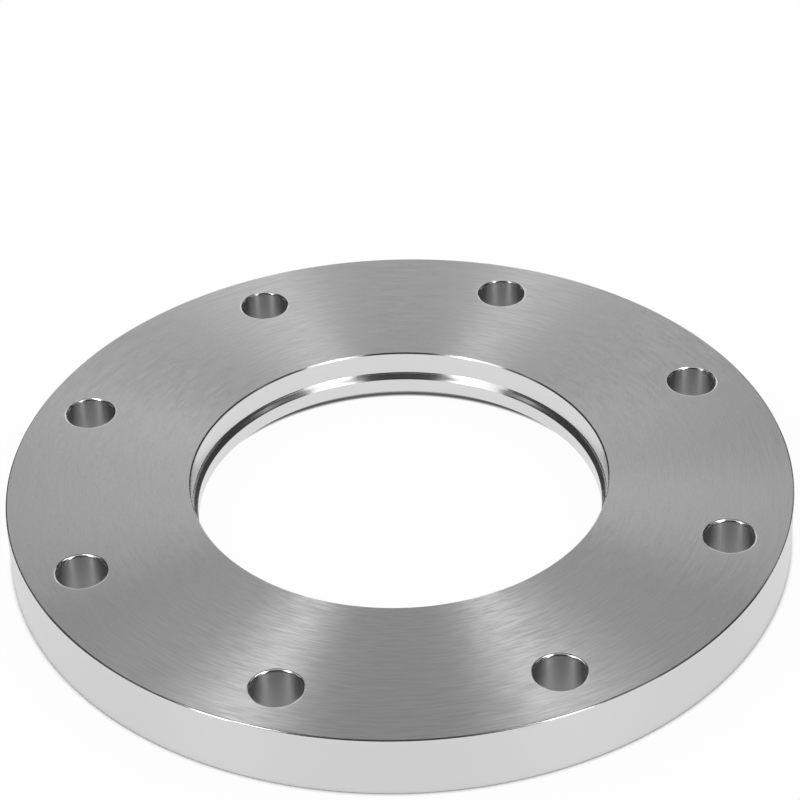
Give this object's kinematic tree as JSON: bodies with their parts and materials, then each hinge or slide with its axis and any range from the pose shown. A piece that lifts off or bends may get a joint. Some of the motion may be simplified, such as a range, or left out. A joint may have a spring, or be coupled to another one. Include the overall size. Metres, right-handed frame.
{
  "type": "plate flange",
  "caption": "Flat bored pipe flange of turned stainless steel: a ring plate with through bolt holes, a tube socket stepped into one face and a shallow centring recess in the other.",
  "frame": {"origin": "centre of the underside, the face with the centring recess", "axes": "+Z along the flange's axis towards the face with the tube socket; the bolt holes lie evenly astride X and Y"},
  "size_m": [0.145, 0.145, 0.012],
  "materials": {
    "stainless_steel": "fine turned, satin, with concentric tool lines on the faces"
  },
  "bodies": {
    "root": {"plate_flange": "stainless_steel"}
  },
  "joints": []
}
